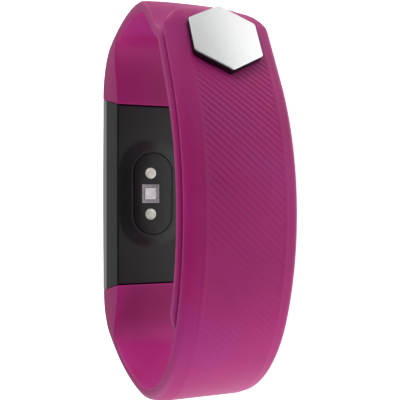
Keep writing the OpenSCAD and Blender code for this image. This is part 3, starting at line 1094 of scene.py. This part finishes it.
# %% [markdown]
# ## Inside the pod
#
# The inner parts of the engineering model stay as they are, and each gets the finish of the real
# part. Solder mask is a glossy green lacquer, mould resin is matt black, cells are wrapped in satin
# foil, contacts are gold plated, and so on. Each is the same short recipe with its own grain.

# %% Inner finishes
black_adhesive = moulded("pressed_black_adhesive", "#0c0c0d", "#131314", 0.5, 0.01, {"Roughness": 0.7})
display = moulded("display_glass_off", "#0b0c10", "#0f1116", 5.0, 0.001, {"Roughness": 0.1, "IOR": 1.5})
flex_film = moulded(
    "polyimide_film", "#a8641c", "#b8742a", 1.0, 0.004, {"Roughness": 0.35, "IOR": 1.65}
)
circuit_board = moulded("green_solder_mask", "#0f3a2b", "#164a38", 0.7, 0.015, {"Roughness": 0.3})
chip_resin = moulded("moulded_epoxy_resin", "#1b1b1c", "#262627", 0.1, 0.008, {"Roughness": 0.6})
ceramic = {"Roughness": 0.45, "IOR": 1.7}
antenna_ceramic = moulded("fired_ceramic", "#d9d5c8", "#e3e0d6", 0.4, 0.006, ceramic)
foam_pad = moulded("closed_cell_foam", "#222223", "#2f2f30", 0.3, 0.05, {"Roughness": 0.9})
gold_plate = moulded(
    "gold_plate", "#d8a548", "#e4b65c", 0.3, 0.002, {"Roughness": 0.25, "Metallic": 1.0}
)
foil = {"Roughness": 0.35, "Metallic": 1.0}
battery_foil = moulded("laminated_foil", "#aeb1b4", "#bfc2c5", 2.0, 0.03, foil)
motor_steel = moulded(
    "drawn_steel", "#b4b6b8", "#c4c6c8", 0.4, 0.003, {"Roughness": 0.3, "Metallic": 1.0}
)
sintered = {"Roughness": 0.5, "Metallic": 1.0}
rotor_metal = moulded("sintered_tungsten", "#6b6862", "#7c7973", 0.2, 0.012, sintered)
metals = (gold_plate, battery_foil, motor_steel, rotor_metal)
print("made the inner metals", ", ".join(m.name for m in metals))

# %% [markdown]
# A node of the engineering model takes a finish by having it put in its material slot. Nodes that the
# new pieces stand for get theirs too, so that the model looks right if they are ever shown.

# %% Finishes by node
FINISHES = {
    "lens_adhesive": black_adhesive,
    "light_shield": black_adhesive,
    "display_panel": display,
    "display_flex": flex_film,
    "touch_pad": gold_plate,
    "usb_contacts": gold_plate,
    "usb_tongue": window_plastic,
    "main_board": circuit_board,
    "sensor_board": circuit_board,
    "board_chips": chip_resin,
    "antenna": antenna_ceramic,
    "battery": battery_foil,
    "battery_pad": foam_pad,
    "motor_can": motor_steel,
    "motor_rotor": rotor_metal,
    "pod_shell": pod_plastic,
    "front_lens": lens_glass,
    "sensor_window": window_plastic,
    "led_lenses": clear_epoxy,
    "photodiode_frame": frame_plastic,
    "photodiode": diode_glass,
    "clasp_cap": clasp_steel,
    "clasp_stud": clasp_steel,
    "clasp_backplate": clasp_steel,
    "clasp_strap_root": strap_rubber,
    "clasp_strap_tip": strap_rubber,
    "tail_strap_root": strap_rubber,
    "tail_strap_end": strap_rubber,
}
for name, finish in FINISHES.items():
    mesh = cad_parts[name].data
    mesh.materials.clear()
    mesh.materials.append(finish)
print(len(FINISHES), "nodes finished;", "unfinished:", sorted(set(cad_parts) - set(FINISHES)))

# %% [markdown]
# ## Camera
#
# The camera stands before the clasp and a little above the band's edge, and looks down into the
# loop. It is rolled so that the pod's length is upright in the picture.

# %% Camera
camera = bpy.data.objects.new("camera", bpy.data.cameras.new("camera"))
bpy.context.scene.collection.objects.link(camera)
bpy.context.scene.camera = camera
camera.data.sensor_width = 36
camera.data.lens = 55.8
camera.data.clip_start = 0.005
eye = Vector((-0.25, -101.54, 40.76)) * MM
aim = Vector((-0.49, -7.46, 6.87)) * MM
ahead = (aim - eye).normalized()
right = ahead.cross(Vector((1, 0, 0))).normalized()
up = right.cross(ahead)
camera.matrix_world = Matrix.Translation(eye) @ Matrix((right, up, -ahead)).transposed().to_4x4()
print(f"camera {(eye.length / MM):.0f} mm from the origin")

# %% [markdown]
# ## Light
#
# The band stands in a white tent, whose brightness follows the direction one looks in. Its two ends
# are brightest, so the turned ends of the loop are bright. It is dim in front of the clasp, as if a
# dark card stood beside the camera, and overhead, so the front of the strap is deep in colour and
# the pod's side stays dark. The camera itself sees plain white.

# %% World
world = bpy.data.worlds.new("white_tent")
bpy.context.scene.world = world
world.use_nodes = True
tree = world.node_tree
tree.nodes.clear()
compass = add_node(tree, "ShaderNodeTexCoord")
toward = add_node(tree, "ShaderNodeSeparateXYZ", {"Vector": (compass, "Generated")})
sideways = add_node(tree, "ShaderNodeMath", {0: (toward, "X")}, operation="ABSOLUTE")
ends = add_node(
    tree,
    "ShaderNodeMapRange",
    {"Value": (sideways, "Value"), "From Min": 0.25, "From Max": 0.95, "To Min": 0.12, "To Max": 2.0},
)
behind = add_node(
    tree,
    "ShaderNodeMapRange",
    {"Value": (toward, "Y"), "From Min": 0.2, "From Max": 0.9, "To Min": 0.0, "To Max": 0.5},
)
level = add_node(tree, "ShaderNodeMath", {0: (ends, "Result"), 1: (behind, "Result")}, operation="ADD")
# what the overhead card and the front card leave of it
above = add_node(
    tree,
    "ShaderNodeMapRange",
    {"Value": (toward, "Z"), "From Min": 0.0, "From Max": 0.9, "To Min": 1.0, "To Max": 0.4},
)
card = add_node(
    tree,
    "ShaderNodeMapRange",
    {"Value": (toward, "Y"), "From Min": -0.9, "From Max": 0.05, "To Min": 0.08, "To Max": 1.0},
)
cards = {0: (above, "Result"), 1: (card, "Result")}
cards = add_node(tree, "ShaderNodeMath", cards, operation="MULTIPLY")
shaded = {0: (level, "Value"), 1: (cards, "Value")}
shaded = add_node(tree, "ShaderNodeMath", shaded, operation="MULTIPLY")
white = (1, 1, 1, 1)
tent = add_node(tree, "ShaderNodeBackground", {"Color": white, "Strength": (shaded, "Value")})
backdrop = add_node(tree, "ShaderNodeBackground", {"Color": white, "Strength": 1.0})
seen = add_node(tree, "ShaderNodeLightPath")
both = add_node(
    tree,
    "ShaderNodeMixShader",
    {0: (seen, "Is Camera Ray"), 1: (tent, "Background"), 2: (backdrop, "Background")},
)
add_node(tree, "ShaderNodeOutputWorld", {"Surface": (both, "Shader")})
print("made", world.name)

# %% [markdown]
# The floor is white too, and lit from below like a light table, which keeps shadows faint. Only the
# part under the band glows, fading out 0.1 m away, so it lights the strap's lower edges and little
# else. The camera sees it evenly white.

# %% Floor
GLOW_R = 0.1
floor_paint, tree, where = new_material("opal_light_table")
opal = {"Roughness": 0.9, "Emission Color": white}
spread = {"Vector": (where, "Object"), "Scale": (1 / GLOW_R, 1 / GLOW_R, 1 / GLOW_R)}
spread = add_node(tree, "ShaderNodeMapping", spread)
fall = add_node(tree, "ShaderNodeTexGradient", {"Vector": (spread, "Vector")}, gradient_type="SPHERICAL")
glow = add_node(tree, "ShaderNodeMapRange", {"Value": (fall, "Fac"), "To Min": 0.05, "To Max": 1.7})
lit = {**opal, "Base Color": (0.3, 0.3, 0.3, 1), "Emission Strength": (glow, "Result")}
lit = add_node(tree, "ShaderNodeBsdfPrincipled", lit)
shown = {**opal, "Base Color": (0.9, 0.9, 0.9, 1), "Emission Strength": 0.85}
shown = add_node(tree, "ShaderNodeBsdfPrincipled", shown)
seen = add_node(tree, "ShaderNodeLightPath")
both = add_node(
    tree, "ShaderNodeMixShader", {0: (seen, "Is Camera Ray"), 1: (lit, "BSDF"), 2: (shown, "BSDF")}
)
add_node(tree, "ShaderNodeOutputMaterial", {"Surface": (both, "Shader")})
bm = bmesh.new()
bmesh.ops.create_grid(bm, x_segments=1, y_segments=1, size=1.5)
mesh = bpy.data.meshes.new("floor")
bm.to_mesh(mesh)
bm.free()
floor = bpy.data.objects.new("floor", mesh)
bpy.context.scene.collection.objects.link(floor)
mesh.materials.append(floor_paint)
print("made", floor.name, "with", floor_paint.name)

# %% [markdown]
# Two soft boxes lift the ends of the loop. They show in no reflection, so they leave no hot spots on
# the pod.


# %% Lamps
def soft_light(name, place, size, power):
    """A square soft box that points at the band."""
    lamp = bpy.data.lights.new(name, "AREA")
    lamp.size = size
    lamp.energy = power
    made = bpy.data.objects.new(name, lamp)
    bpy.context.scene.collection.objects.link(made)
    made.visible_glossy = False
    made.location = place
    made.rotation_mode = "QUATERNION"
    made.rotation_quaternion = (-Vector(place)).to_track_quat("-Z", "Y")


soft_light("end_box", (0.25, -0.05, 0.2), 0.2, 1.0)
soft_light("low_box", (-0.25, -0.12, 0.06), 0.1, 0.7)
bpy.context.scene.view_settings.view_transform = "Standard"
